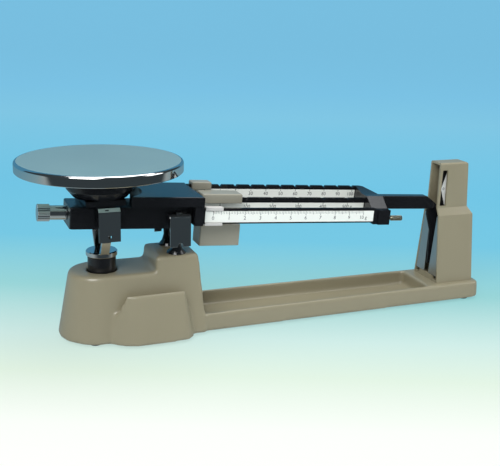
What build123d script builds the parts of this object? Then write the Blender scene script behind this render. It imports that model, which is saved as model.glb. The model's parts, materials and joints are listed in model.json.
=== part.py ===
from build123d import *
import os
from math import atan, cos, degrees, radians, sin, tan

os.makedirs("parts", exist_ok=True)

# Main sizes in millimetres. x runs from the load axis to the index tower,
# y from the front to the back and z up from the table.
pan_d = 150.0
pan_top = 166.2
pan_skirt = 9.6
load_arm = 67.5
knife_z = 112.0
rest_tilt = 3.78
base_end = 405.0
base_bottom = 2.0
rail_top = 20.0
trough_floor = 5.5
trough_end = 340.0
low_top = 63.7
block_top = 77.6
block_left = 45.7
casting_draft = 0.18
casting_wall = 4.0
head_half = 18.7
head_low = 101.8
head_high = 121.6
plate_half = 32.0
plate_low = 125.3
plate_high = 134.3
beam_start = 88.0
beam_end = 270.5
beam_thick = 3.6
scale_thick = 0.4
link_z = 32.0
vane_thick = 1.2
vane_y = -1.5
gap = 0.35

# The load carrier stands upright while the beam rests tilted, so it rides this much high.
rest_x = load_arm * (1 - cos(radians(rest_tilt)))
rest_rise = load_arm * sin(radians(rest_tilt))
# The finished balance is centred over its footprint.
load_x = -(base_end + rest_x - pan_d / 2) / 2
casting_angle = degrees(atan(casting_draft))


def box(x0, x1, y0, y1, z0, z1):
    """Block between six planes."""
    return Pos((x0 + x1) / 2, (y0 + y1) / 2, (z0 + z1) / 2) * Box(x1 - x0, y1 - y0, z1 - z0)


def rod_x(x0, x1, y, z, r):
    return Pos((x0 + x1) / 2, y, z) * Rot(0, 90, 0) * Cylinder(r, x1 - x0)


def rod_y(x, y0, y1, z, r):
    return Pos(x, (y0 + y1) / 2, z) * Rot(90, 0, 0) * Cylinder(r, abs(y1 - y0))


def rod_z(x, y, z0, z1, r):
    return Pos(x, y, (z0 + z1) / 2) * Cylinder(r, z1 - z0)


def outline(points, radius=0):
    """Closed outline with one corner radius, or one radius for each corner."""
    line = FilletPolyline(*points, radius=radius, close=True) if radius else Polyline(*points, close=True)
    face = make_face(line).face()
    return face if face.normal_at().Z > 0 else -face


def front_plate(points, y0, y1, radius=0):
    """Outline seen from the front, with its thickness along y."""
    return Pos(0, y1, 0) * extrude(Plane.XZ * outline(points, radius), y1 - y0)


def end_plate(points, x0, x1, radius=0):
    """Outline seen from the end, with its thickness along x."""
    return Pos(x0, 0, 0) * extrude(Plane.YZ * outline(points, radius), x1 - x0)


def drafted(face, height, angle):
    """Outline raised from the table with draft on its sides."""
    solid = extrude(face, height, taper=angle)
    return solid if solid.bounding_box().max.Z > 1 else mirror(solid, Plane.XY)


def top_plate(points, z0, z1, radius=0):
    """Outline seen from above, with its thickness along z."""
    return Pos(0, 0, z0) * extrude(outline(points, radius), z1 - z0)


def turned(points, x=0, y=0):
    """Body of revolution about an upright axis, from radius and height pairs."""
    return Pos(x, y, 0) * revolve(Plane.XZ * make_face(Polyline(*points, close=True)), Axis.Z)


def soften(shape, radius, pick):
    """Round the edges that the test picks."""
    return fillet([edge for edge in shape.edges() if pick(edge.center())], radius)


def tilted(shape):
    """Turn a piece of the level beam to its resting tilt about the fulcrum."""
    return Pos(load_arm, 0, knife_z) * Rot(0, rest_tilt, 0) * Pos(-load_arm, 0, -knife_z) * shape


def carried(shape):
    """Lift a piece of the load carrier from its level place to its resting place."""
    return Pos(rest_x, 0, rest_rise) * shape


def save(name, shape):
    solids = shape.solids()
    whole = solids[0] if len(solids) == 1 else Compound(children=list(solids))
    export_step(Pos(load_x, 0, 0) * whole, f"parts/{name}.step")


# Base

nose_x = -4.0
foot_half = 38.0
block_right = 91.0
roof_inner = (28.8, 51.2)
roof_outer = (42.5, 47.4)


def pedestal_form(wall):
    """Drafted pedestal and side bulges, drawn in all round by the wall thickness."""
    half = foot_half - wall
    plan = Pos(nose_x, 0) * Circle(half) + Pos(60, 0) * Rectangle(120 - 2 * nose_x, 2 * half)
    body = drafted(plan, block_top, casting_angle)
    right = block_right - wall
    side = [
        (-60, 0), (right, 0), (right - 0.5, rail_top), (right - 4.5, block_top - wall),
        (block_left + wall, block_top - wall), (block_left - 0.6 + wall, low_top - wall),
        (-60, low_top - wall),
    ]
    body = body & front_plate(side, -60, 60)
    bulge_half = [(-1, 30), (-1, 38), (9.5, 47.3), (22, 51), (78, 49.5), (78, 30)]
    bulges = []
    for turn in (1, -1):
        points = [(x, turn * y) for x, y in bulge_half]
        plan = offset(outline(points), -wall) if wall else outline(points, [0, 0, 14, 14, 12, 0])
        inner = (turn * (roof_inner[0] - 12), roof_inner[1] - wall)
        roof = [
            (turn * 70, 0), (turn * 10, 0), inner, (turn * roof_inner[0], roof_inner[1] - wall),
            (turn * (roof_outer[0] + 12), roof_outer[1] - 3.3 - wall), (turn * 70, 30),
        ]
        bulges.append(drafted(plan, 60, casting_angle) & end_plate(roof, -60, 120))
    return body, bulges


def rail_form():
    """Drafted rail with rounded right corners."""
    plan = [(60, 34.6), (base_end, 30.2), (base_end, -30.2), (60, -34.6)]
    rail = drafted(outline(plan, [0, 9, 9, 0]), rail_top, 3.4)
    return soften(rail, 1.5, lambda c: c.Z > rail_top - 0.01 and c.X > 100)


def base_casting():
    body, bulges = pedestal_form(0)
    body = soften(body, 3.0, lambda c: c.Z > block_top - 0.01)
    body = soften(body, 3.5, lambda c: abs(c.Z - low_top) < 0.01 and c.X < block_left - 2)
    shell = body + rail_form()
    for bulge in bulges:
        shell += bulge
    hollow, pockets = pedestal_form(casting_wall)
    shell -= hollow
    for pocket in pockets:
        shell -= pocket
    rim = 5.5
    trough = [(block_right, 34.3 - rim), (trough_end, 30.4 - rim),
              (trough_end, rim - 30.4), (block_right, rim - 34.3)]
    shell -= top_plate(trough, trough_floor, rail_top + 1, [0, 4, 4, 0])
    tower_pocket = box(trough_end + 5, base_end - 6, -23, 23, 0, rail_top - casting_wall)
    shell -= tower_pocket
    bosses = []
    for x, y in foot_places():
        bosses.append(rod_z(x, y, base_bottom, 12, 7.5))
    shell += [boss & box(-60, base_end, -60, 60, 0, 20) for boss in bosses]
    shell -= rod_z(0, 0, low_top - 10, low_top + 1, sleeve_r + 0.75)
    return shell & box(-60, base_end + 1, -60, 60, base_bottom, block_top + 1)


def foot_places():
    return [(-12, 25), (-12, -25), (base_end - 16, 20), (base_end - 16, -20)]


def base_feet():
    return Compound(children=[turned([(0, 0), (5.4, 0), (6, 0.7), (6, base_bottom), (0, base_bottom)], x, y)
                              for x, y in foot_places()])


# Check link, which keeps the load carrier upright

def link_bracket():
    """Post hanging under the block, with a foot plate on its upper end."""
    roof = block_top - casting_wall
    post = box(load_arm - 6, load_arm + 6, -4, 4, link_z - 8, roof)
    post += box(load_arm - 12, load_arm + 12, -12, 12, roof - 3, roof)
    return post - rod_y(load_arm, -5, 5, link_z, pin_r)


pin_r = 1.5
sleeve_r = 13.0


def link_pin():
    return rod_y(load_arm, -8.5, 8.5, link_z, pin_r)


def check_link():
    """Channel with a cheek on each side of the post and of the stem."""
    half = 6.5
    bar = [(-6, -6), (load_arm + 6, -6), (load_arm + 6, 6), (-6, 6)]
    bar = [(x, link_z + z) for x, z in bar]
    channel = front_plate(bar, -half, half, 5.5)
    channel -= box(-20, load_arm + 20, 1.5 - half, half - 1.5, link_z - 20, link_z + 4.5)
    channel -= box(-20, 10, 1.5 - half, half - 1.5, link_z - 20, link_z + 20)
    channel -= box(load_arm - 10, load_arm + 20, 1.5 - half, half - 1.5, link_z - 20, link_z + 20)
    channel -= rod_y(load_arm, -10, 10, link_z, pin_r + 0.06)
    channel -= rod_y(0, -10, 10, link_z, pin_r + 0.4)
    turn = Pos(load_arm, 0, link_z) * Rot(0, rest_tilt, 0) * Pos(-load_arm, 0, -link_z)
    return turn * channel


# Load carrier, drawn in its level place

hub_low = 72.6
hub_high = 77.4
leg_y = 21.2
bridge_low = 123.8
bridge_high = 128.8
pan_sheet = 1.4
cup_high = pan_top - rest_rise - pan_sheet - 1.2 - gap


def carrier_frame():
    """Stirrup round the head, with bearing windows in its legs and a stem under its hub."""
    hub = turned([(0, hub_low), (14.0, hub_low), (14.4, hub_low + 0.6), (14.4, hub_high - 0.8),
                  (13.6, hub_high), (0, hub_high)])
    frame = hub + box(-18, 18, -24.2, 24.2, bridge_low, bridge_high)
    for side in (1, -1):
        inner = [(8, hub_high - 2.5), (leg_y - 1.4, 91), (leg_y - 1.4, bridge_low + 1)]
        outer = [(leg_y + 1.6, bridge_low + 1), (leg_y + 1.6, 90), (13.2, hub_high - 2.5)]
        leg = end_plate([(side * y, z) for y, z in inner + outer], -4.0, 4.0)
        eye = box(-8.5, 8.5, side * leg_y - 1.5 + side * 0.1, side * leg_y + 1.5 + side * 0.1,
                  knife_z - 9, bridge_low + 1)
        frame += leg + soften(eye, 3, lambda c: c.Z < knife_z - 8.9 and abs(abs(c.X) - 8.5) < 0.1)
        frame -= box(-5.5, 5.5, side * leg_y - 4, side * leg_y + 4, knife_z - 6.5, knife_z + 6.5)
    return frame + rod_z(0, 0, link_z - 5, hub_low, 3.6) - rod_y(0, -5, 5, link_z, pin_r)


def stem_pin():
    return rod_y(0, -8.0, 8.0, link_z, pin_r)


def load_bearing(side):
    """Bearing block with a notch that sits over the load knife."""
    notch = [(-5.5, 6.5), (-5.5, -2.6), (-4.6, -2.6), (0, 0.15), (4.6, -2.6), (5.5, -2.6), (5.5, 6.5)]
    low, high = sorted((side * (leg_y - 1.4), side * (leg_y + 1.6)))
    return front_plate([(x, knife_z + z) for x, z in notch], low, high)


def bent_cover(x0, x1, z0, z1, side):
    """Bright guard plate with a top lip bent inwards, a rolled lower edge and one screw hole."""
    face = cover_y
    section = [(face, z0), (face + cover_thick, z0), (face + cover_thick, z1 - 3.6),
               (face + 4.4, z1 - 0.9), (face + 4.4, z1), (face + 2.4, z1), (face, z1 - 2.9)]
    shape = end_plate([(-y, z) if side > 0 else (y, z) for y, z in section], x0, x1)
    return shape


cover_y = -28.0
cover_thick = 0.9


def load_cover(side):
    low, high = 92.0, 122.6
    plate = bent_cover(-7.6, 11.9, low, high, side)
    plate -= rod_y(2.2, side * 24, side * 32, low + 4.6, 1.6)
    arm_low, arm_high = sorted((side * (leg_y + 1.6), side * 27.2))
    stand_off = box(-1.6, 1.6, arm_low, arm_high, low + 5, low + 8)
    stand_off += box(-1.6, 1.6, arm_low, arm_high, knife_z + 7, knife_z + 9.6)
    return plate + stand_off


def dust_sleeve():
    """Black tube that closes the bore round the stem."""
    tube = rod_z(0, 0, 44, hub_low, sleeve_r) - rod_z(0, 0, 43, hub_low - 2.5, sleeve_r - 1.6)
    return tube - rod_z(0, 0, 40, hub_low + 1, 3.65)


def pan_cup():
    """Black cup that takes the pan on its rim, with a socket for its spigot."""
    low = bridge_high
    points = [(5.2, low), (24.6, low), (30.6, low + 7.2), (32, cup_high), (29, cup_high), (26, low + 4),
              (9, low + 4), (9, low + 16), (5.2, low + 16)]
    return turned(points)


def pan():
    """Flat pan with a rolled skirt and a spigot below."""
    r = pan_d / 2
    top = pan_top - rest_rise
    profile = [(0, top), (r - 4.6, top)]
    steps = 4
    rim = [(r - 4.6 + 4.6 * sin(radians(90 * k / steps)), top - 4.6 * (1 - cos(radians(90 * k / steps))))
           for k in range(1, steps + 1)]
    low = top - pan_skirt
    profile += rim + [(r, low), (r - 1.6, low), (r - 1.6, top - 4.6)]
    profile += [(r - 5.2, top - pan_sheet), (34, top - pan_sheet), (34, cup_high + gap),
                (4.8, cup_high + gap), (4.8, bridge_high + 6), (0, bridge_high + 6)]
    return turned(profile)


# Fulcrum

def knife(x, edge_z, point_up, half_length):
    """Knife bar with a sixty degree edge."""
    rise = 1 if point_up else -1
    width = 2.6
    depth = width / tan(radians(30))
    section = [(x, edge_z), (x + width, edge_z - rise * depth), (x + width, edge_z - rise * (depth + 1.2)),
               (x - width, edge_z - rise * (depth + 1.2)), (x - width, edge_z - rise * depth)]
    return front_plate(section, -half_length, half_length)


def fulcrum_post(side):
    """Leaning post with a flared foot and a seat for its bearing."""
    lean = 15.4
    profile = [(0, -4), (10.2, -4), (9.4, 0), (5.4, 4.2), (3.3, 9.5), (2.6, 26.5), (0, 26.5)]
    post = turned(profile)
    post = Pos(load_arm, side * 15.3, block_top) * Rot(-side * lean, 0, 0) * post
    post = post & box(load_arm - 12, load_arm + 12, -30, 30, block_top, knife_z)
    seat_low, seat_high = sorted((side * 19.9, side * 25.3))
    seat = box(load_arm - 6, load_arm + 6, seat_low, seat_high, knife_z - 10.5, knife_z - 5)
    return post + seat


def fulcrum_bearing(side):
    """Bearing block with a notch under the fulcrum knife."""
    notch = [(-5, -5), (5, -5), (5, 2.4), (4.3, 2.4), (0, -0.15), (-4.3, 2.4), (-5, 2.4)]
    low, high = sorted((side * 20.2, side * 25.0))
    return front_plate([(load_arm + x, knife_z + z) for x, z in notch], low, high)


def fulcrum_cover(side):
    low, high = 86.6, 117.0
    middle = load_arm
    plate = bent_cover(middle - 9.9, middle + 9.9, low, high, side)
    plate -= rod_y(middle, side * 24, side * 32, low + 1, 2.6)
    arm_low, arm_high = sorted((side * 25.3, side * 27.2))
    return plate + box(middle - 3, middle + 3, arm_low, arm_high, knife_z - 10, knife_z - 6)


# Beam, drawn level

front_y = -24.0
middle_y = -2.0
rear_y = 20.0
front_low, front_high = 107.2, 121.8
middle_low, middle_high = 112.0, 127.0
rear_low, rear_high = 120.2, 134.8
arm_half = 5.0
tip_x = 354.5


def beam_bar(face_y, low, high):
    y0 = face_y + scale_thick
    return box(beam_start - 1, beam_end + 1, y0, y0 + beam_thick, low, high)


def notches(first, step, count, face_y, high):
    """Row of V notches along the top of a bar."""
    cuts = []
    for k in range(count):
        x = first + k * step
        cuts.append(front_plate([(x - 2.2, high + 0.5), (x + 2.2, high + 0.5), (x, high - 2.6)],
                                face_y, face_y + 6))
    return cuts


def beam_casting():
    """Hollow head, wide top plate, end wall, three bars, yoke and arm in one casting."""
    head = box(-31, 80, -head_half, head_half, head_low, head_high)
    head = soften(head, 2.5, lambda c: c.X < -30.9 and abs(c.Y) > head_half - 0.01)
    head = soften(head, 1.2, lambda c: c.Z > head_high - 0.01)
    neck = box(24, 86, -head_half, head_half, head_high - 2, plate_high - 1)
    plate = box(20, beam_start, -plate_half, plate_half, plate_low, plate_high)
    plate = soften(plate, 1.2, lambda c: c.Z > plate_high - 0.01)
    casting = head + neck + plate - rod_z(0, 0, head_high + 0.01, plate_high + 5, 36)
    casting += box(80, beam_start, -plate_half + 1, plate_half - 1, front_low, plate_low + 1)
    casting -= box(-28, 77, 3 - head_half, head_half - 3, head_low - 1, head_high - 3)
    casting -= box(42, 77, 3 - head_half, head_half - 3, head_high - 4, plate_high - 4)
    casting += beam_bar(front_y, front_low, front_high)
    casting += beam_bar(middle_y, middle_low, middle_high)
    casting += beam_bar(rear_y, rear_low, rear_high)
    casting += yoke() + arm()
    for cut in notches(113.8, 27.42, 6, middle_y, middle_high) + notches(104.8, 16.18, 11, rear_y, rear_high):
        casting -= cut
    casting -= rod_x(-32, -27, 0, knife_z + 0.5, 3.0)
    casting -= knife(0, knife_z, True, 30)
    casting -= knife(load_arm, knife_z, False, 30)
    return casting - damping_vane() - rod_x(276, 289, -23, 111.6, screw_r + 0.06)


screw_r = 1.6


def yoke():
    """Cross piece that gathers the three bars into the arm."""
    plan = [(beam_end, 24), (276, 24), (289, 5), (289, -arm_half), (288, -26), (275, -26), (275, -24),
            (beam_end, -24)]
    band = [(24, rear_high), (rear_y, rear_high), (5, 130.2), (-5, 130.2), (-18, 120.4), (-26, 120.2),
            (-26, 105.4), (-19, 105.4), (-5, 116.7), (5, 116.7), (rear_y, rear_low), (24, rear_low)]
    return end_plate(band, beam_end, 289) & top_plate(plan, 100, 140)


def arm():
    """Arm from the yoke to the tower, tapering to its tip."""
    side = [(284, 116.7), (341, 116.7), (tip_x, 117.2), (tip_x, 122.6), (343, 130.2), (284, 130.2)]
    bar = front_plate(side, -arm_half, arm_half)
    return soften(bar, 1.0, lambda c: c.Z > 130.1 and abs(abs(c.Y) - arm_half) < 0.01)


def scale_plate(face_y, x0, x1, z0, z1):
    return box(x0, x1, face_y, face_y + scale_thick, z0, z1)


def zero_stud():
    return rod_x(-52, -27, 0, knife_z + 0.5, 3.0)


knurl_depth = 0.5


def knurled(x0, x1, y, z, radius, teeth):
    """Round head with straight V knurling."""
    rim = []
    for k in range(2 * teeth):
        reach = radius - knurl_depth * (k % 2)
        angle = radians(180 * k / teeth)
        rim.append((y + reach * cos(angle), z + reach * sin(angle)))
    return end_plate(rim, x0, x1)


def zero_knob():
    """Knurled balancing knob with a smooth neck, on its stud."""
    z = knife_z + 0.5
    knob = knurled(-56.9, -46.3, 0, z, 7.75, 24) + rod_x(-46.3, -31 - gap, 0, z, 6.5)
    return knob - rod_x(-52.6, -30, 0, z, 3.06)


def calibration_screw():
    head = knurled(291, 303, -23, 111.6, 2.85, 12)
    return head + rod_x(278, 292, -23, 111.6, screw_r)


def damping_vane():
    """Thin plate that hangs from the arm between the magnets."""
    points = [(347, 121), (374, 121), (378, 116), (378, 56), (357, 56), (354, 92), (347, 110)]
    return front_plate(points, vane_y - vane_thick / 2, vane_y + vane_thick / 2)


def pointer():
    """Thin blade on the front of the arm that reads against the index plate."""
    points = [(344, 117.6), (356, 118.6), (360.5, 120.5), (356, 122.2), (344, 122.4)]
    return front_plate(points, -arm_half - 0.8, -arm_half)


# Poises

def rear_poise():
    x0, x1 = 90.7, 110.2
    low, high = rear_high + gap, 138.0
    cover = box(x0, x1, rear_y - 4, rear_y + 8, rear_low + 6, high)
    cover = soften(cover, 1.2, lambda c: c.Z > high - 0.01)
    inside = box(x0 - 1, x1 + 1, rear_y - gap, rear_y + 4 + gap, rear_low, low)
    return cover - inside - box(x0 - 1, x1 + 1, rear_y - 5, rear_y + 1, rear_low, 130.8)


def middle_poise():
    """Bridge over the bar, back wall and hanging weight."""
    x0, x1 = 93.0, 133.0
    bridge = box(x0, x1, -10, 8, 123.3, 132.4)
    bridge = soften(bridge, 1.5, lambda c: c.Z > 132.39)
    wall = box(x0, x1, middle_y + 4 + gap, 8, 100, 126)
    weight = box(x0, x1, -11, 11, 82, 103)
    weight = soften(weight, 1.2, lambda c: abs(abs(c.Y) - 11) < 0.01)
    inside = box(x0 - 1, x1 + 1, middle_y - gap, middle_y + 4 + gap, 110, middle_high + gap)
    return bridge + wall + weight - inside


def front_rider():
    """Light stirrup round the front bar with two tabs and a pointer tooth."""
    x0, x1 = 92.0, 109.0
    outer = box(x0, x1, -25.3, -18.7, front_low - 1.3, front_high + 1.3)
    inner = box(x0 - 1, x1 + 1, front_y - gap, front_y + 4 + gap, front_low - gap, front_high + gap)
    rider = outer - inner
    rider -= box(x0 - 1, x1 + 1, -26, front_y - gap, front_low + 1.4, front_high - 1.8)
    middle = (x0 + x1) / 2
    tooth = [(middle - 1, front_high - 1), (middle + 1, front_high - 1), (middle, front_high - 4.6)]
    return rider + front_plate(tooth, -25.3, front_y - gap)


# Index tower

tower_x = 353.4
tower_right = 397.0


def tower_form(wall):
    """Stepped tower, drawn in all round by the wall thickness."""
    front = [(tower_x - 6 if wall else tower_x, rail_top + wall), (tower_right - wall, rail_top + wall),
             (396 - wall, 92), (390.8 - wall, 99.6), (388 - wall, 147.3 - wall),
             (tower_x - 5 if wall else 354.4, 147.3 - wall)]
    ends = [(22.5, 20 + wall), (14.2, 92), (10.0, 99.6), (9.2, 147.3 - wall)]
    ends = [(y - wall, z) for y, z in ends]
    ends += [(-y, z) for y, z in reversed(ends)]
    radii = [0, 0, 1.5, 1.5, 3.0, 0] if wall == 0 else 0
    end_radii = [0, 2, 2, 2.2, 2.2, 2, 2, 0] if wall == 0 else 0
    return front_plate(front, -40, 40, radii) & end_plate(ends, 340, 420, end_radii)


def index_housing():
    """Tower open towards the beam, with a reading window in its front wall."""
    tower = tower_form(0)
    tower -= tower_form(2.3)
    window = [(356.6, 101.5), (364.2, 101.5), (363.8, 139.5), (357.4, 139.5)]
    tower -= front_plate(window, -30, -3, 0.8)
    return tower + box(tower_x, 356, -12, 12, rail_top, 26)


def index_plate():
    """Card behind the window, with the zero mark on it."""
    return box(357.6, 372, -4.4, -3.4, 98, 143) + box(371, 384.8, -4.4, -2.4, 98, 143)


def slot_plate(side):
    """Bright plate beside the slot that the vane moves in."""
    top_edge, low_edge = (1.5, 4.0) if side > 0 else (11.0, 3.6)
    points = [(top_edge, 91), (12.0, 91), (19.4, 26.3), (low_edge, 26.3)]
    return end_plate([(side * y, z) for y, z in points], tower_x + 0.4, tower_x + 1.6)


def magnet(side):
    y = vane_y + side * 3.7
    return box(364, 381, y - 1.5, y + 1.5, 50, 70)


def damper_yoke():
    """Steel bracket that holds the magnets, standing on the tower floor."""
    y = vane_y
    floor = rail_top + 2.3
    arms = box(364, 387, y + 5.2, y + 7.2, 48, 72) + box(364, 387, y - 7.2, y - 5.2, 48, 72)
    return arms + box(385, 387, y - 7.2, y + 7.2, floor, 72) + box(374, 387, y - 7.2, y + 7.2, floor, floor + 2)


# Write every piece

save("base_casting", base_casting())
save("base_feet", base_feet())
save("link_bracket", link_bracket())
save("link_pin", link_pin())
save("check_link", check_link())
save("load_carrier", carried(carrier_frame()))
save("stem_pin", carried(stem_pin()))
save("front_load_bearing", carried(load_bearing(-1)))
save("rear_load_bearing", carried(load_bearing(1)))
save("front_load_cover", carried(load_cover(-1)))
save("rear_load_cover", carried(load_cover(1)))
save("dust_sleeve", carried(dust_sleeve()))
save("pan_cup", carried(pan_cup()))
save("weighing_pan", carried(pan()))
save("front_fulcrum_post", fulcrum_post(-1))
save("rear_fulcrum_post", fulcrum_post(1))
save("front_fulcrum_bearing", fulcrum_bearing(-1))
save("rear_fulcrum_bearing", fulcrum_bearing(1))
save("front_fulcrum_cover", fulcrum_cover(-1))
save("rear_fulcrum_cover", fulcrum_cover(1))
save("beam_casting", tilted(beam_casting()))
save("load_knife", tilted(knife(0, knife_z, True, 24.5)))
save("fulcrum_knife", tilted(knife(load_arm, knife_z, False, 23.2)))
save("front_scale_plate", tilted(scale_plate(front_y, 92, beam_end - 0.5, 108.6, 119.4)))
save("middle_scale_plate", tilted(scale_plate(middle_y, 92, beam_end - 0.5, 114.2, 122.2)))
save("rear_scale_plate", tilted(scale_plate(rear_y, 92, beam_end - 0.5, 122.3, 130.7)))
save("zero_stud", tilted(zero_stud()))
save("zero_knob", tilted(zero_knob()))
save("calibration_screw", tilted(calibration_screw()))
save("damping_vane", tilted(damping_vane()))
save("pointer", tilted(pointer()))
save("rear_poise", tilted(rear_poise()))
save("middle_poise", tilted(middle_poise()))
save("front_rider", tilted(front_rider()))
save("index_housing", index_housing())
save("index_plate", index_plate())
save("front_slot_plate", slot_plate(-1))
save("rear_slot_plate", slot_plate(1))
save("front_magnet", magnet(-1))
save("rear_magnet", magnet(1))
save("damper_yoke", damper_yoke())
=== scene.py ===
import json
import math

import bpy
from mathutils import Matrix, Vector

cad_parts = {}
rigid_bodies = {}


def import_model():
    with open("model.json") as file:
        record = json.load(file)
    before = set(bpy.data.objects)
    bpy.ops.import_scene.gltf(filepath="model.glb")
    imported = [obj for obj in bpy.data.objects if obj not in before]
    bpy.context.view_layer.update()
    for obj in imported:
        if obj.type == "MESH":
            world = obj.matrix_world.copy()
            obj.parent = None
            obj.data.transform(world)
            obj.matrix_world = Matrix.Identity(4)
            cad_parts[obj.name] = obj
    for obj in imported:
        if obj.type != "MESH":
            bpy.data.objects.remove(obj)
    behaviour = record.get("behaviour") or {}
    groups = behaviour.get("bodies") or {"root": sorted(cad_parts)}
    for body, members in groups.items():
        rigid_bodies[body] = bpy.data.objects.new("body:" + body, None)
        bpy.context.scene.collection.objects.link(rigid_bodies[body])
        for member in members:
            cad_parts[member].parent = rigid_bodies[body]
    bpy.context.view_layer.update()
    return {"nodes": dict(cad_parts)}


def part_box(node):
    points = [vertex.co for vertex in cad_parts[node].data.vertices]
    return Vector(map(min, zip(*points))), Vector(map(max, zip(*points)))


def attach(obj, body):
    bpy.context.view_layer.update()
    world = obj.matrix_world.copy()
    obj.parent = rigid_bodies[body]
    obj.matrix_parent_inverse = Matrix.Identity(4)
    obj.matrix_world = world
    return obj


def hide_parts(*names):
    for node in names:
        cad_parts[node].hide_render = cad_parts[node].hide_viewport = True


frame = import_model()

bl_info = {
    "name": "Triple beam balance dressing",
    "version": (1, 0, 0),
    "blender": (4, 5, 0),
    "location": "View3D > Sidebar > Balance",
    "description": "Dresses the packed balance with finishes, graduations and a pale studio",
    "category": "Object",
}

MM = 0.001
REST_TILT = math.radians(3.78)
LOAD_ARM = 67.5
KNIFE_Z = 112.0
PAN_LOW, PAN_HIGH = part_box("weighing_pan")
REST_X = LOAD_ARM * (1 - math.cos(REST_TILT))
LOAD_X = (PAN_LOW[0] + PAN_HIGH[0]) / 2 / MM - REST_X
FRONT_FACE_Y = -24.0
MIDDLE_FACE_Y = -2.0
REAR_FACE_Y = 20.0
# Height in millimetres above which the load carrier is black.
CARRIER_PAINT_FROM = 97.0
# Cell size in metres and number of smoothing passes that round the casting.
CAST_CELL, CAST_PASSES = 0.0015, 16
# Front of the index card, and its triangle, line and figure, in x and z from the load axis.
CARD_FACE_Y = -4.4
INDEX_TRIANGLE = ((360.2, 118.7), (366.4, 99.0), (366.4, 137.7))
INDEX_LINE = (359.2, 133.8)
INDEX_FIGURE = (363.2, 118.5)
# Pan sizes in millimetres.
PAN_SKIRT, PAN_SHEET, PAN_ROLL = 9.6, 1.4, 2.4
PAN_RING, PAN_SEAT, PAN_SPIGOT = 34.0, 2.6, 4.8
# Scale rows on the level beam in millimetres: first mark, step, number of marks, value of one
# step and unit, then the place and size of the main marks and the height of the figures.
SCALE_ROWS = {
    "front": dict(y=FRONT_FACE_Y, first=99.8, step=15.85, marks=11, value=1, unit="g",
                  mark_z=117.3, mark_wide=0.45, mark_high=4.0, figure_z=112.6),
    "middle": dict(y=MIDDLE_FACE_Y, first=113.8, step=27.42, marks=6, value=100, unit="g",
                   mark_z=121.2, mark_wide=0.5, mark_high=2.0, figure_z=118.3),
    "rear": dict(y=REAR_FACE_Y, first=104.8, step=16.18, marks=11, value=10, unit="g",
                 mark_z=129.8, mark_wide=0.5, mark_high=1.8, figure_z=126.3),
}


def srgb(r, g, b):
    """Linear colour from a colour given in 0 to 255 steps."""
    linear = []
    for value in (r, g, b):
        c = value / 255
        linear.append(c / 12.92 if c <= 0.04045 else ((c + 0.055) / 1.055) ** 2.4)
    return linear


# Settings

class BalanceSizes(bpy.types.PropertyGroup):
    soft_edge: bpy.props.FloatProperty(
        name="Casting edge", description="Rounding on the edges of the castings",
        default=0.0009, min=0.0001, unit="LENGTH")
    crisp_edge: bpy.props.FloatProperty(
        name="Metal edge", description="Rounding on the edges of the sheet metal and turned pieces",
        default=0.00025, min=0.00005, unit="LENGTH")
    figure_height: bpy.props.FloatProperty(
        name="Figure height", description="Height of the figures on the scale plates",
        default=0.0036, min=0.001, unit="LENGTH")


class BalanceColours(bpy.types.PropertyGroup):
    enamel: bpy.props.FloatVectorProperty(
        name="Enamel", description="Grey-tan enamel of the castings", subtype="COLOR", size=3,
        min=0, max=1, default=srgb(144, 136, 111))
    poise: bpy.props.FloatVectorProperty(
        name="Poise enamel", description="Enamel of the sliding poises", subtype="COLOR", size=3,
        min=0, max=1, default=srgb(150, 146, 130))
    black: bpy.props.FloatVectorProperty(
        name="Black enamel", description="Gloss black of the beam", subtype="COLOR", size=3,
        min=0, max=1, default=srgb(22, 23, 26))
    plate: bpy.props.FloatVectorProperty(
        name="Scale plate", description="White of the scale plates", subtype="COLOR", size=3,
        min=0, max=1, default=srgb(240, 241, 232))
    backdrop: bpy.props.FloatVectorProperty(
        name="Backdrop", description="Colour of the far backdrop", subtype="COLOR", size=3,
        min=0, max=1, default=srgb(128, 201, 235))


def sizes():
    return bpy.context.scene.balance_sizes


def colours():
    return bpy.context.scene.balance_colours


# Shared surface effects

def group_sockets(group, ins, outs):
    for name, kind, default in ins:
        socket = group.interface.new_socket(name, in_out="INPUT", socket_type=kind)
        socket.default_value = default
    for name, kind in outs:
        group.interface.new_socket(name, in_out="OUTPUT", socket_type=kind)


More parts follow.
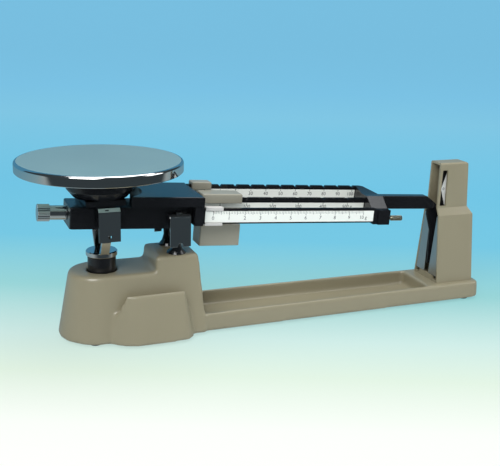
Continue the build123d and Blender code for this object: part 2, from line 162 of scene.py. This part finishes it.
def surface_variation():
    """Broad tone and gloss variation with a fine grain, in the object's own space."""
    group = bpy.data.node_groups.get("surface variation")
    if group:
        return group
    group = bpy.data.node_groups.new("surface variation", "ShaderNodeTree")
    group_sockets(group, [
        ("Colour", "NodeSocketColor", (0.5, 0.5, 0.5, 1)), ("Tone", "NodeSocketFloat", 0.1),
        ("Roughness", "NodeSocketFloat", 0.4), ("Rough spread", "NodeSocketFloat", 0.1),
        ("Grain size", "NodeSocketFloat", 900.0),
    ], [("Colour", "NodeSocketColor"), ("Roughness", "NodeSocketFloat"), ("Grain", "NodeSocketFloat")])
    nodes, links = group.nodes, group.links
    start = nodes.new("NodeGroupInput")
    end = nodes.new("NodeGroupOutput")
    place = nodes.new("ShaderNodeTexCoord")
    broad = nodes.new("ShaderNodeTexNoise")
    broad.inputs["Scale"].default_value = 22.0
    broad.inputs["Detail"].default_value = 4.0
    fine = nodes.new("ShaderNodeTexNoise")
    fine.inputs["Detail"].default_value = 3.0
    links.new(place.outputs["Object"], broad.inputs["Vector"])
    links.new(place.outputs["Object"], fine.inputs["Vector"])
    links.new(start.outputs["Grain size"], fine.inputs["Scale"])
    centred = nodes.new("ShaderNodeMath")
    centred.operation = "SUBTRACT"
    centred.inputs[1].default_value = 0.5
    links.new(broad.outputs["Fac"], centred.inputs[0])
    toned = nodes.new("ShaderNodeMath")
    toned.operation = "MULTIPLY_ADD"
    toned.inputs[2].default_value = 1.0
    links.new(centred.outputs[0], toned.inputs[0])
    links.new(start.outputs["Tone"], toned.inputs[1])
    scale = nodes.new("ShaderNodeVectorMath")
    scale.operation = "SCALE"
    links.new(start.outputs["Colour"], scale.inputs[0])
    links.new(toned.outputs[0], scale.inputs["Scale"])
    links.new(scale.outputs["Vector"], end.inputs["Colour"])
    rough = nodes.new("ShaderNodeMath")
    rough.operation = "MULTIPLY_ADD"
    links.new(centred.outputs[0], rough.inputs[0])
    links.new(start.outputs["Rough spread"], rough.inputs[1])
    links.new(start.outputs["Roughness"], rough.inputs[2])
    links.new(rough.outputs[0], end.inputs["Roughness"])
    links.new(fine.outputs["Fac"], end.inputs["Grain"])
    return group


def turned_lines():
    """Fine circular lathe lines about an upright axis through the origin of its vector."""
    group = bpy.data.node_groups.get("turned lines")
    if group:
        return group
    group = bpy.data.node_groups.new("turned lines", "ShaderNodeTree")
    group_sockets(group, [("Vector", "NodeSocketVector", (0, 0, 0)), ("Lines", "NodeSocketFloat", 2500.0)],
                  [("Height", "NodeSocketFloat")])
    nodes, links = group.nodes, group.links
    start = nodes.new("NodeGroupInput")
    end = nodes.new("NodeGroupOutput")
    flat = nodes.new("ShaderNodeVectorMath")
    flat.operation = "MULTIPLY"
    flat.inputs[1].default_value = (1, 1, 0)
    length = nodes.new("ShaderNodeVectorMath")
    length.operation = "LENGTH"
    noise = nodes.new("ShaderNodeTexNoise")
    noise.noise_dimensions = "1D"
    noise.inputs["Detail"].default_value = 3.0
    links.new(start.outputs["Vector"], flat.inputs[0])
    links.new(flat.outputs["Vector"], length.inputs[0])
    links.new(length.outputs["Value"], noise.inputs["W"])
    links.new(start.outputs["Lines"], noise.inputs["Scale"])
    links.new(noise.outputs["Fac"], end.inputs["Height"])
    return group


# Finishes

def finish(name, colour, roughness, tone=0.1, spread=0.08, grain=900.0, bump=0.0, metallic=0.0, coat=0.0,
           coat_roughness=0.1, lathe=None):
    """Procedural material from the shared effects, with its own values."""
    material = bpy.data.materials.get(name)
    if material:
        return material
    material = bpy.data.materials.new(name)
    material.use_nodes = True
    nodes, links = material.node_tree.nodes, material.node_tree.links
    shader = nodes["Principled BSDF"]
    shader.inputs["Metallic"].default_value = metallic
    shader.inputs["Coat Weight"].default_value = coat
    shader.inputs["Coat Roughness"].default_value = coat_roughness
    vary = nodes.new("ShaderNodeGroup")
    vary.node_tree = surface_variation()
    vary.inputs["Colour"].default_value = (*colour, 1)
    vary.inputs["Tone"].default_value = tone
    vary.inputs["Roughness"].default_value = roughness
    vary.inputs["Rough spread"].default_value = spread
    vary.inputs["Grain size"].default_value = grain
    links.new(vary.outputs["Colour"], shader.inputs["Base Color"])
    links.new(vary.outputs["Roughness"], shader.inputs["Roughness"])
    if bump > 0:
        relief = nodes.new("ShaderNodeBump")
        relief.inputs["Strength"].default_value = bump
        relief.inputs["Distance"].default_value = 0.0002
        if lathe:
            place = nodes.new("ShaderNodeTexCoord")
            centre = nodes.new("ShaderNodeMapping")
            centre.inputs["Location"].default_value = (-lathe[0], -lathe[1], 0)
            turned = nodes.new("ShaderNodeGroup")
            turned.node_tree = turned_lines()
            links.new(place.outputs["Object"], centre.inputs["Vector"])
            links.new(centre.outputs["Vector"], turned.inputs["Vector"])
            links.new(turned.outputs["Height"], relief.inputs["Height"])
        else:
            links.new(vary.outputs["Grain"], relief.inputs["Height"])
        links.new(relief.outputs["Normal"], shader.inputs["Normal"])
    return material


def enamel():
    return finish("grey-tan enamel", colours().enamel, 0.38, tone=0.08, spread=0.10, grain=700, bump=0.05,
                  coat=0.5, coat_roughness=0.18)


def poise_enamel():
    return finish("poise enamel", colours().poise, 0.34, tone=0.08, grain=800, bump=0.04, coat=0.25,
                  coat_roughness=0.2)


def black_enamel():
    return finish("gloss black enamel", colours().black, 0.24, tone=0.3, spread=0.1, grain=500, bump=0.03,
                  coat=0.35, coat_roughness=0.08)


def chrome():
    return finish("bright chrome", (0.83, 0.84, 0.85), 0.07, tone=0.04, spread=0.05, metallic=1.0)


def pan_steel_painted_reflection():
    x = (PAN_LOW[0] + PAN_HIGH[0]) / 2
    # The green-blue cast in this steel colour is a painted reflection of the blue backdrop, on top of the steel's
    # own grey.
    return finish("turned pan steel with painted backdrop tint", (0.60, 0.76, 0.70), 0.3, tone=0.05, spread=0.06, metallic=0.8, bump=0.08,
                  lathe=(x, 0.0))


def pan_rim_chrome():
    return finish("polished pan rim", (0.84, 0.85, 0.85), 0.09, tone=0.04, spread=0.04, metallic=1.0)


def ground_steel():
    return finish("ground steel", (0.58, 0.59, 0.60), 0.32, tone=0.12, grain=1500, bump=0.06, metallic=1.0)


def scale_enamel():
    return finish("scale plate enamel", colours().plate, 0.3, tone=0.04, grain=1200, bump=0.02, coat=0.3)


def printed_black():
    return finish("printed black", srgb(62, 62, 64), 0.5, tone=0.2, grain=2000, bump=0.02)


def printed_white():
    return finish("printed white", srgb(240, 240, 235), 0.5, tone=0.05, grain=2000, bump=0.02)


def card_black():
    return finish("index card black", srgb(18, 18, 20), 0.55, tone=0.3, grain=1500, bump=0.04)


def bearing_stone():
    return finish("bearing stone", srgb(96, 80, 72), 0.12, tone=0.5, grain=300, bump=0.0, coat=0.5)


def pale_plating():
    return finish("pale plating", srgb(214, 210, 192), 0.22, tone=0.08, grain=1200, bump=0.03, metallic=1.0)


def rider_plating():
    return finish("satin rider plating", srgb(228, 224, 218), 0.4, tone=0.06, grain=1200, bump=0.03, metallic=0.35)


def foot_rubber():
    return finish("foot rubber", srgb(28, 28, 28), 0.75, tone=0.3, grain=600, bump=0.2)


# Modelling helpers

def clear_selection():
    if bpy.context.mode != "OBJECT":
        bpy.ops.object.mode_set(mode="OBJECT")
    bpy.ops.object.select_all(action="DESELECT")


def only(obj):
    clear_selection()
    obj.select_set(True)
    bpy.context.view_layer.objects.active = obj


def settle(obj):
    """Put the object's place into its mesh."""
    only(obj)
    bpy.ops.object.transform_apply(location=True, rotation=True, scale=True)


def joined(name, pieces):
    clear_selection()
    for piece in pieces:
        piece.select_set(True)
    bpy.context.view_layer.objects.active = pieces[0]
    if len(pieces) > 1:
        bpy.ops.object.join()
    obj = bpy.context.view_layer.objects.active
    obj.name = name
    return obj


def dressed(obj, body, material, slot_name, *nodes):
    obj.data.materials.clear()
    obj.data.materials.append(material)
    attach(obj, body)
    if nodes:
        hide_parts(*nodes)
    return obj


def softened(node, body, material, slot_name, width, segments=3, angle=32):
    """The node's solid, merged and with its edges rounded."""
    source = frame["nodes"][node]
    obj = source.copy()
    obj.data = source.data.copy()
    obj.name = node + "_finished"
    bpy.context.collection.objects.link(obj)
    if obj.parent:
        world = source.matrix_world.copy()
        obj.parent = None
        obj.matrix_world = world
    only(obj)
    bpy.ops.object.mode_set(mode="EDIT")
    bpy.ops.mesh.select_all(action="SELECT")
    bpy.ops.mesh.remove_doubles(threshold=0.000002)
    bpy.ops.mesh.dissolve_limited(angle_limit=math.radians(1.5))
    bpy.ops.object.mode_set(mode="OBJECT")
    bevel = obj.modifiers.new("edges", "BEVEL")
    bevel.width = width
    bevel.segments = segments
    bevel.limit_method = "ANGLE"
    bevel.angle_limit = math.radians(angle)
    bevel.harden_normals = True
    bpy.ops.object.modifier_apply(modifier=bevel.name)
    bpy.ops.object.shade_smooth_by_angle(angle=math.radians(35))
    flatten = obj.modifiers.new("flat faces", "WEIGHTED_NORMAL")
    flatten.weight = 100
    flatten.keep_sharp = True
    bpy.ops.object.modifier_apply(modifier=flatten.name)
    return dressed(obj, body, material, slot_name, node)


def cast_round(obj):
    """Even small cells over a casting, smoothed so that its edges and folds are round."""
    only(obj)
    remesh = obj.modifiers.new("cells", "REMESH")
    remesh.mode = "VOXEL"
    remesh.voxel_size = CAST_CELL
    bpy.ops.object.modifier_apply(modifier=remesh.name)
    relax = obj.modifiers.new("round", "SMOOTH")
    relax.factor = 0.5
    relax.iterations = CAST_PASSES
    bpy.ops.object.modifier_apply(modifier=relax.name)
    bpy.ops.object.shade_smooth()


def lathed(name, x, profile, segments=160):
    """Turned body about an upright axis, drawn ring by ring from radius and height pairs in millimetres."""
    clear_selection()
    radius, height = profile[0]
    bpy.ops.mesh.primitive_circle_add(vertices=segments, radius=radius * MM, fill_type="NGON",
                                      location=(x * MM, 0, height * MM))
    obj = bpy.context.object
    obj.name = name
    settle(obj)
    bpy.ops.object.mode_set(mode="EDIT")
    bpy.ops.mesh.select_mode(type="EDGE")
    bpy.ops.mesh.select_all(action="SELECT")
    for last, here in zip(profile, profile[1:]):
        bpy.ops.mesh.extrude_edges_move(TRANSFORM_OT_translate={"value": (0, 0, (here[1] - last[1]) * MM)})
        scale = here[0] / last[0]
        bpy.ops.transform.resize(value=(scale, scale, 1), center_override=(x * MM, 0, here[1] * MM))
    bpy.ops.mesh.edge_face_add()
    bpy.ops.mesh.select_all(action="SELECT")
    bpy.ops.mesh.normals_make_consistent(inside=False)
    bpy.ops.object.mode_set(mode="OBJECT")
    bpy.ops.object.shade_smooth_by_angle(angle=math.radians(35))
    return obj


def cut_level(obj, height, keep_above):
    """Keep what is above or below a level and close the cut."""
    only(obj)
    bpy.ops.object.mode_set(mode="EDIT")
    bpy.ops.mesh.select_all(action="SELECT")
    bpy.ops.mesh.bisect(plane_co=(0, 0, height * MM), plane_no=(0, 0, 1), use_fill=True,
                        clear_inner=keep_above, clear_outer=not keep_above)
    bpy.ops.object.mode_set(mode="OBJECT")


def beam_matrix():
    """From the level beam's millimetres to the row frame at rest."""
    pivot = Matrix.Translation(((LOAD_ARM + LOAD_X) * MM, 0, KNIFE_Z * MM))
    back = Matrix.Translation((-LOAD_ARM * MM, 0, -KNIFE_Z * MM))
    return pivot @ Matrix.Rotation(REST_TILT, 4, "Y") @ back


def bar_mark(x, y, z, width, depth, height):
    """Thin upright mark at level beam millimetres."""
    clear_selection()
    bpy.ops.mesh.primitive_cube_add(size=1, location=(x * MM, y * MM, z * MM))
    obj = bpy.context.object
    obj.scale = (width * MM, depth * MM, height * MM)
    settle(obj)
    return obj


def repeated(obj, step, count):
    """Copies along x, made by an array and applied."""
    only(obj)
    array = obj.modifiers.new("row", "ARRAY")
    array.use_relative_offset = False
    array.use_constant_offset = True
    array.constant_offset_displace = (step * MM, 0, 0)
    array.count = count
    bpy.ops.object.modifier_apply(modifier=array.name)
    return obj


def figure(text, x, y, z, height):
    """Raised figure facing the front, centred at level beam millimetres."""
    clear_selection()
    bpy.ops.object.text_add(location=(x * MM, y * MM, z * MM), rotation=(math.pi / 2, 0, 0))
    obj = bpy.context.object
    obj.data.body = text
    obj.data.align_x = "CENTER"
    obj.data.align_y = "CENTER"
    obj.data.size = height * 1.38
    obj.data.extrude = 0.00003
    obj.data.resolution_u = 3
    bpy.ops.object.convert(target="MESH")
    obj = bpy.context.object
    settle(obj)
    return obj


def tilt_and_dress(obj, material, slot_name):
    obj.matrix_world = beam_matrix() @ obj.matrix_world
    settle(obj)
    return dressed(obj, "beam", material, slot_name)


# Pieces

class BALANCE_OT_base(bpy.types.Operator):
    """Finish the base casting and its feet"""
    bl_idname = "balance.base"
    bl_label = "Base"

    def execute(self, context):
        casting = softened("base_casting", "base", enamel(), "tan_paint", sizes().soft_edge, 1)
        cast_round(casting)
        softened("base_feet", "base", foot_rubber(), "rubber_foot", 0.0004)
        return {"FINISHED"}


class BALANCE_OT_tower(bpy.types.Operator):
    """Finish the index tower, its card, slot plates and magnets"""
    bl_idname = "balance.tower"
    bl_label = "Index tower"

    def execute(self, context):
        softened("index_housing", "base", enamel(), "tan_paint", 0.0006, 4)
        softened("index_plate", "base", card_black(), "index_card", 0.0001, 1)
        self.zero_mark()
        for node in ("front_slot_plate", "rear_slot_plate", "damper_yoke", "front_magnet", "rear_magnet"):
            softened(node, "base", ground_steel(), "steel", 0.0002, 2)
        return {"FINISHED"}


    def zero_mark(self):
        """White triangle that points at the beam, with its figure and one fine line."""
        clear_selection()
        bpy.ops.mesh.primitive_cylinder_add(vertices=3, radius=1, depth=1, rotation=(math.pi / 2, 0, 0))
        triangle = bpy.context.object
        settle(triangle)
        for vertex in triangle.data.vertices:
            around = math.atan2(vertex.co.z, vertex.co.x)
            x, z = INDEX_TRIANGLE[round(3 * around / math.tau) % 3]
            y = CARD_FACE_Y + math.copysign(0.04, vertex.co.y)
            vertex.co = ((x + LOAD_X) * MM, y * MM, z * MM)
        only(triangle)
        bpy.ops.object.mode_set(mode="EDIT")
        bpy.ops.mesh.select_all(action="SELECT")
        bpy.ops.mesh.normals_make_consistent(inside=False)
        bpy.ops.object.mode_set(mode="OBJECT")
        line = bar_mark(INDEX_LINE[0] + LOAD_X, CARD_FACE_Y, INDEX_LINE[1], 2.2, 0.08, 0.6)
        dressed(joined("index_triangle", [triangle, line]), "base", printed_white(), "index_card")
        zero = figure("0", INDEX_FIGURE[0] + LOAD_X, CARD_FACE_Y - 0.05, INDEX_FIGURE[1], 0.0032)
        zero.name = "index_figure"
        dressed(zero, "base", printed_black(), "index_card")


class BALANCE_OT_fulcrum(bpy.types.Operator):
    """Finish the fulcrum posts, bearings and covers"""
    bl_idname = "balance.fulcrum"
    bl_label = "Fulcrum"

    def execute(self, context):
        for side in ("front", "rear"):
            softened(side + "_fulcrum_post", "base", black_enamel(), "black_paint", 0.0003)
            softened(side + "_fulcrum_bearing", "base", bearing_stone(), "agate", 0.0001, 1)
            softened(side + "_fulcrum_cover", "base", chrome(), "chrome_plate", 0.00035)
        for node in ("link_bracket", "link_pin"):
            softened(node, "base", ground_steel(), "steel", 0.0002, 2)
        softened("check_link", "check_link", ground_steel(), "steel", 0.0002, 2)
        return {"FINISHED"}


class BALANCE_OT_beam(bpy.types.Operator):
    """Finish the beam casting and what is fixed to it"""
    bl_idname = "balance.beam"
    bl_label = "Beam"

    def execute(self, context):
        softened("beam_casting", "beam", black_enamel(), "black_paint", 0.0005, 3)
        for node in ("load_knife", "fulcrum_knife", "zero_stud"):
            softened(node, "beam", ground_steel(), "steel", 0.00005, 1)
        softened("damping_vane", "beam", black_enamel(), "black_paint", 0.0001, 1)
        softened("pointer", "beam", black_enamel(), "black_paint", 0.0001, 1)
        softened("zero_knob", "zero_knob", chrome(), "chrome_plate", 0.00012, 2)
        softened("calibration_screw", "calibration_screw", pale_plating(), "brass_plate", 0.0001, 2)
        return {"FINISHED"}


class BALANCE_OT_scales(bpy.types.Operator):
    """Finish the three scale plates with their graduations and figures"""
    bl_idname = "balance.scales"
    bl_label = "Scale plates"

    def execute(self, context):
        for name in SCALE_ROWS:
            softened(name + "_scale_plate", "beam", scale_enamel(), "scale_enamel", 0.0001, 1)
        for name, row in SCALE_ROWS.items():
            self.graduations(name, **row)
        return {"FINISHED"}

    def graduations(self, name, y, first, step, marks, value, unit, mark_z, mark_wide, mark_high, figure_z):
        """Marks and figures of one scale, with the unit after the last figure."""
        pieces = [repeated(bar_mark(first, y, mark_z, mark_wide, 0.06, mark_high), step, marks)]
        if name == "front":
            tenths = repeated(bar_mark(first, y, 118.0, 0.28, 0.06, 2.6), step / 10, 101)
            halves = repeated(bar_mark(first + step / 2, y, 117.7, 0.36, 0.06, 3.3), step, 10)
            pieces = [tenths, *pieces, halves]
        for k in range(marks):
            text = str(value * k) + (" " + unit if k == marks - 1 else "")
            pieces.append(figure(text, first + k * step, y - 0.02, figure_z, sizes().figure_height))
        tilt_and_dress(joined(name + "_graduations", pieces), printed_black(), "index_card")


class BALANCE_OT_poises(bpy.types.Operator):
    """Finish the three sliding poises"""
    bl_idname = "balance.poises"
    bl_label = "Poises"

    def execute(self, context):
        softened("rear_poise", "rear_poise", poise_enamel(), "poise_paint", 0.0004)
        softened("middle_poise", "middle_poise", poise_enamel(), "poise_paint", 0.0005)
        softened("front_rider", "front_rider", rider_plating(), "steel", 0.0001, 1)
        return {"FINISHED"}


class BALANCE_OT_load_side(bpy.types.Operator):
    """Finish the load carrier, its covers, the cup and the pan"""
    bl_idname = "balance.load_side"
    bl_label = "Load side"

    def execute(self, context):
        hub = softened("load_carrier", "carrier", chrome(), "chrome_plate", 0.0002)
        bridge = hub.copy()
        bridge.data = hub.data.copy()
        bridge.name = "load_carrier_bridge"
        context.collection.objects.link(bridge)
        cut_level(hub, CARRIER_PAINT_FROM, keep_above=False)
        cut_level(bridge, CARRIER_PAINT_FROM, keep_above=True)
        dressed(bridge, "carrier", black_enamel(), "black_paint", "load_carrier")
        softened("stem_pin", "carrier", ground_steel(), "steel", 0.0001, 1)
        softened("dust_sleeve", "carrier", black_enamel(), "black_paint", 0.0003)
        softened("pan_cup", "carrier", black_enamel(), "black_paint", 0.0003)
        for side in ("front", "rear"):
            softened(side + "_load_bearing", "carrier", bearing_stone(), "agate", 0.0001, 1)
            softened(side + "_load_cover", "carrier", chrome(), "chrome_plate", 0.00035)
        self.pan()
        return {"FINISHED"}

    def pan(self):
        """Turned pan: flat top, polished rolled rim and a spigot under its middle."""
        top, low = PAN_HIGH[2] / MM, PAN_LOW[2] / MM
        reach, roll = (PAN_HIGH[1] - PAN_LOW[1]) / 2 / MM, PAN_ROLL
        skirt = top - PAN_SKIRT
        angles = [math.radians(9 * k) for k in range(11)]
        rim = [(reach - roll + roll * math.sin(a), top - roll * (1 - math.cos(a))) for a in angles]
        under = [(reach, skirt + 0.5), (reach - 0.5, skirt), (reach - 1.3, skirt), (reach - 1.6, skirt + 0.5),
                 (reach - 1.6, top - 3.2), (reach - 3.4, top - PAN_SHEET), (PAN_RING, top - PAN_SHEET),
                 (PAN_RING, top - PAN_SEAT), (PAN_SPIGOT, top - PAN_SEAT), (PAN_SPIGOT, low)]
        centre = (PAN_LOW[0] + PAN_HIGH[0]) / 2
        plate = lathed("weighing_pan_finished", centre / MM, rim + under)
        dressed(plate, "pan", pan_steel_painted_reflection(), "chrome_plate", "weighing_pan")
        plate.data.materials.append(pan_rim_chrome())
        for face in plate.data.polygons:
            span = max(math.hypot(plate.data.vertices[v].co.x - centre, plate.data.vertices[v].co.y)
                       for v in face.vertices)
            face.material_index = int(span > (reach - roll + 0.2) * MM)


# Stage

CAMERA_PLACE = (-150.4, -743.0, 317.2)
CAMERA_AZIMUTH, CAMERA_PITCH, CAMERA_ROLL = 21.8, 16.32, 1.69
CAMERA_FOCUS = 850.0
CAMERA_CENTRE = (250.0, 236.0)
VIEW_WIDE, VIEW_HIGH = 500, 466
# What polished pieces mirror of the room in front of the object.
ROOM_TONE = (0.035, 0.045, 0.05)


def backdrop_material():
    """Pale floor that turns to blue with distance and keeps the shadow."""
    material = bpy.data.materials.new("studio sweep")
    material.use_nodes = True
    nodes, links = material.node_tree.nodes, material.node_tree.links
    nodes.clear()
    out = nodes.new("ShaderNodeOutputMaterial")
    place = nodes.new("ShaderNodeTexCoord")
    away = nodes.new("ShaderNodeVectorMath")
    away.operation = "DOT_PRODUCT"
    turn = math.radians(CAMERA_AZIMUTH)
    away.inputs[1].default_value = (math.sin(turn), math.cos(turn), 0.9)
    ramp = nodes.new("ShaderNodeValToRGB")
    spread = nodes.new("ShaderNodeMapRange")
    spread.inputs["From Min"].default_value = -0.35
    spread.inputs["From Max"].default_value = 1.9
    stops = [(0.0, srgb(250, 251, 246)), (0.05, srgb(245, 249, 242)), (0.09, srgb(222, 238, 222)),
             (0.125, srgb(204, 231, 225)), (0.185, srgb(150, 208, 210)), (0.27, srgb(116, 196, 222)),
             (0.40, srgb(113, 195, 225)), (0.74, srgb(131, 202, 231)), (1.0, colours().backdrop[:])]
    ramp.color_ramp.elements[0].color = (*stops[0][1], 1)
    ramp.color_ramp.elements[1].color = (*stops[-1][1], 1)
    for place_at, colour in stops[1:-1]:
        element = ramp.color_ramp.elements.new(place_at)
        element.color = (*colour, 1)
    links.new(place.outputs["Object"], away.inputs[0])
    links.new(away.outputs["Value"], spread.inputs["Value"])
    links.new(spread.outputs["Result"], ramp.inputs["Fac"])
    glow = nodes.new("ShaderNodeEmission")
    soft = nodes.new("ShaderNodeBsdfDiffuse")
    plain = nodes.new("ShaderNodeBsdfDiffuse")
    plain.inputs["Color"].default_value = (0.75, 0.8, 0.82, 1)
    links.new(ramp.outputs["Color"], glow.inputs["Color"])
    links.new(ramp.outputs["Color"], soft.inputs["Color"])
    seen = nodes.new("ShaderNodeMixShader")
    seen.inputs[0].default_value = 0.8
    links.new(soft.outputs[0], seen.inputs[1])
    links.new(glow.outputs[0], seen.inputs[2])
    reflected = nodes.new("ShaderNodeEmission")
    depth = nodes.new("ShaderNodeValToRGB")
    depth_range = nodes.new("ShaderNodeMapRange")
    depth_range.inputs["From Min"].default_value = -1.2
    depth_range.inputs["From Max"].default_value = 3.0
    mirrored = [(0.0, ROOM_TONE), (0.235, ROOM_TONE), (0.265, (0.30, 0.34, 0.34)), (0.32, (0.20, 0.32, 0.36)),
                (0.55, (0.08, 0.25, 0.36)), (1.0, (0.07, 0.23, 0.36))]
    depth.color_ramp.elements[0].color = (*mirrored[0][1], 1)
    depth.color_ramp.elements[1].color = (*mirrored[-1][1], 1)
    for place_at, colour in mirrored[1:-1]:
        element = depth.color_ramp.elements.new(place_at)
        element.color = (*colour, 1)
    split = nodes.new("ShaderNodeSeparateXYZ")
    links.new(place.outputs["Object"], split.inputs[0])
    links.new(split.outputs["Y"], depth_range.inputs["Value"])
    links.new(depth_range.outputs["Result"], depth.inputs["Fac"])
    links.new(depth.outputs["Color"], reflected.inputs["Color"])
    rays = nodes.new("ShaderNodeLightPath")
    mix = nodes.new("ShaderNodeMixShader")
    links.new(rays.outputs["Is Camera Ray"], mix.inputs[0])
    links.new(plain.outputs[0], mix.inputs[1])
    links.new(seen.outputs[0], mix.inputs[2])
    last = nodes.new("ShaderNodeMixShader")
    links.new(rays.outputs["Is Glossy Ray"], last.inputs[0])
    links.new(mix.outputs[0], last.inputs[1])
    links.new(reflected.outputs[0], last.inputs[2])
    links.new(last.outputs[0], out.inputs["Surface"])
    return material


def area_light(name, place, target, size, power, colour=(1, 1, 1)):
    light = bpy.data.lights.new(name, "AREA")
    light.shape = "RECTANGLE"
    light.size, light.size_y = size
    light.energy = power
    light.color = colour
    obj = bpy.data.objects.new(name, light)
    bpy.context.collection.objects.link(obj)
    obj.location = place
    obj.rotation_euler = (Vector(target) - Vector(place)).to_track_quat("-Z", "Y").to_euler()
    return obj


class BALANCE_OT_stage(bpy.types.Operator):
    """Set up the floor, backdrop, lights and camera"""
    bl_idname = "balance.stage"
    bl_label = "Stage"

    def execute(self, context):
        clear_selection()
        bpy.ops.mesh.primitive_plane_add(size=1, location=(0, -0.5, 0))
        floor = context.object
        floor.name = "studio_sweep"
        floor.scale = (14, 9, 1)
        settle(floor)
        bpy.ops.object.mode_set(mode="EDIT")
        bpy.ops.mesh.select_mode(type="EDGE")
        bpy.ops.mesh.select_all(action="DESELECT")
        bpy.ops.object.mode_set(mode="OBJECT")
        for edge in floor.data.edges:
            edge.select = all(floor.data.vertices[v].co.y > 3.9 for v in edge.vertices)
        bpy.ops.object.mode_set(mode="EDIT")
        steps = 8
        for k in range(steps):
            angle = math.radians(90 * (k + 0.5) / steps)
            run = 1.6 * math.radians(90) / steps
            bpy.ops.mesh.extrude_region_move(
                TRANSFORM_OT_translate={"value": (0, run * math.cos(angle), run * math.sin(angle))})
        bpy.ops.mesh.extrude_region_move(TRANSFORM_OT_translate={"value": (0, 0, 6)})
        bpy.ops.object.mode_set(mode="OBJECT")
        bpy.ops.object.shade_smooth()
        floor.data.materials.append(backdrop_material())
        self.lights()
        self.camera()
        return {"FINISHED"}

    def lights(self):
        world = bpy.data.worlds.new("studio")
        bpy.context.scene.world = world
        world.use_nodes = True
        nodes, links = world.node_tree.nodes, world.node_tree.links
        background = nodes["Background"]
        background.inputs["Color"].default_value = (0.80, 0.90, 1.0, 1)
        background.inputs["Strength"].default_value = 0.45
        room = nodes.new("ShaderNodeBackground")
        room.inputs["Color"].default_value = (*ROOM_TONE, 1)
        rays = nodes.new("ShaderNodeLightPath")
        mix = nodes.new("ShaderNodeMixShader")
        links.new(rays.outputs["Is Glossy Ray"], mix.inputs[0])
        links.new(background.outputs[0], mix.inputs[1])
        links.new(room.outputs[0], mix.inputs[2])
        links.new(mix.outputs[0], nodes["World Output"].inputs["Surface"])
        area_light("key softbox", (-0.9, -1.1, 1.5), (0, 0, 0.08), (1.1, 1.1), 27)
        area_light("top softbox", (0.25, 0.2, 1.6), (0, 0, 0.08), (1.6, 1.2), 16, (0.95, 0.98, 1))
        area_light("side softbox", (1.5, -0.7, 0.8), (0, 0, 0.08), (0.9, 0.9), 6)

    def camera(self):
        data = bpy.data.cameras.new("camera")
        data.sensor_width = 36.0
        data.lens = CAMERA_FOCUS / VIEW_WIDE * 36.0
        data.clip_end = 60
        data.shift_x = (VIEW_WIDE / 2 - CAMERA_CENTRE[0]) / VIEW_WIDE
        data.shift_y = (CAMERA_CENTRE[1] - VIEW_HIGH / 2) / VIEW_WIDE
        obj = bpy.data.objects.new("camera", data)
        bpy.context.collection.objects.link(obj)
        psi, pitch, roll = (math.radians(v) for v in (CAMERA_AZIMUTH, CAMERA_PITCH, CAMERA_ROLL))
        forward = Vector((math.sin(psi) * math.cos(pitch), math.cos(psi) * math.cos(pitch), -math.sin(pitch)))
        right = Vector((math.cos(psi), -math.sin(psi), 0))
        up = right.cross(forward)
        turned_right = right * math.cos(roll) + up * math.sin(roll)
        turned_up = -right * math.sin(roll) + up * math.cos(roll)
        turn = Matrix((turned_right, turned_up, -forward)).transposed().to_4x4()
        x, y, z = CAMERA_PLACE
        obj.matrix_world = Matrix.Translation(((x + LOAD_X) * MM, y * MM, z * MM)) @ turn
        bpy.context.scene.camera = obj


class BALANCE_PT_panel(bpy.types.Panel):
    """Lists the settings and the pieces"""
    bl_label = "Balance"
    bl_idname = "BALANCE_PT_panel"
    bl_space_type = "VIEW_3D"
    bl_region_type = "UI"
    bl_category = "Balance"

    def draw(self, context):
        for settings in (sizes(), colours()):
            for name in settings.bl_rna.properties.keys():
                if name not in ("rna_type", "name"):
                    self.layout.prop(settings, name)
        for operator in OPERATORS:
            self.layout.operator(operator.bl_idname)


OPERATORS = (
    BALANCE_OT_stage, BALANCE_OT_base, BALANCE_OT_tower, BALANCE_OT_fulcrum, BALANCE_OT_beam, BALANCE_OT_scales,
    BALANCE_OT_poises, BALANCE_OT_load_side,
)
CLASSES = (BalanceSizes, BalanceColours) + OPERATORS + (BALANCE_PT_panel,)


def register():
    for cls in CLASSES:
        bpy.utils.register_class(cls)
    bpy.types.Scene.balance_sizes = bpy.props.PointerProperty(type=BalanceSizes)
    bpy.types.Scene.balance_colours = bpy.props.PointerProperty(type=BalanceColours)


def unregister():
    del bpy.types.Scene.balance_colours
    del bpy.types.Scene.balance_sizes
    for cls in reversed(CLASSES):
        bpy.utils.unregister_class(cls)


def main():
    register()
    bpy.context.scene.view_settings.view_transform = "Standard"
    for operator in OPERATORS:
        group, name = operator.bl_idname.split(".")
        getattr(getattr(bpy.ops, group), name)()


if __name__ == "__main__":
    main()
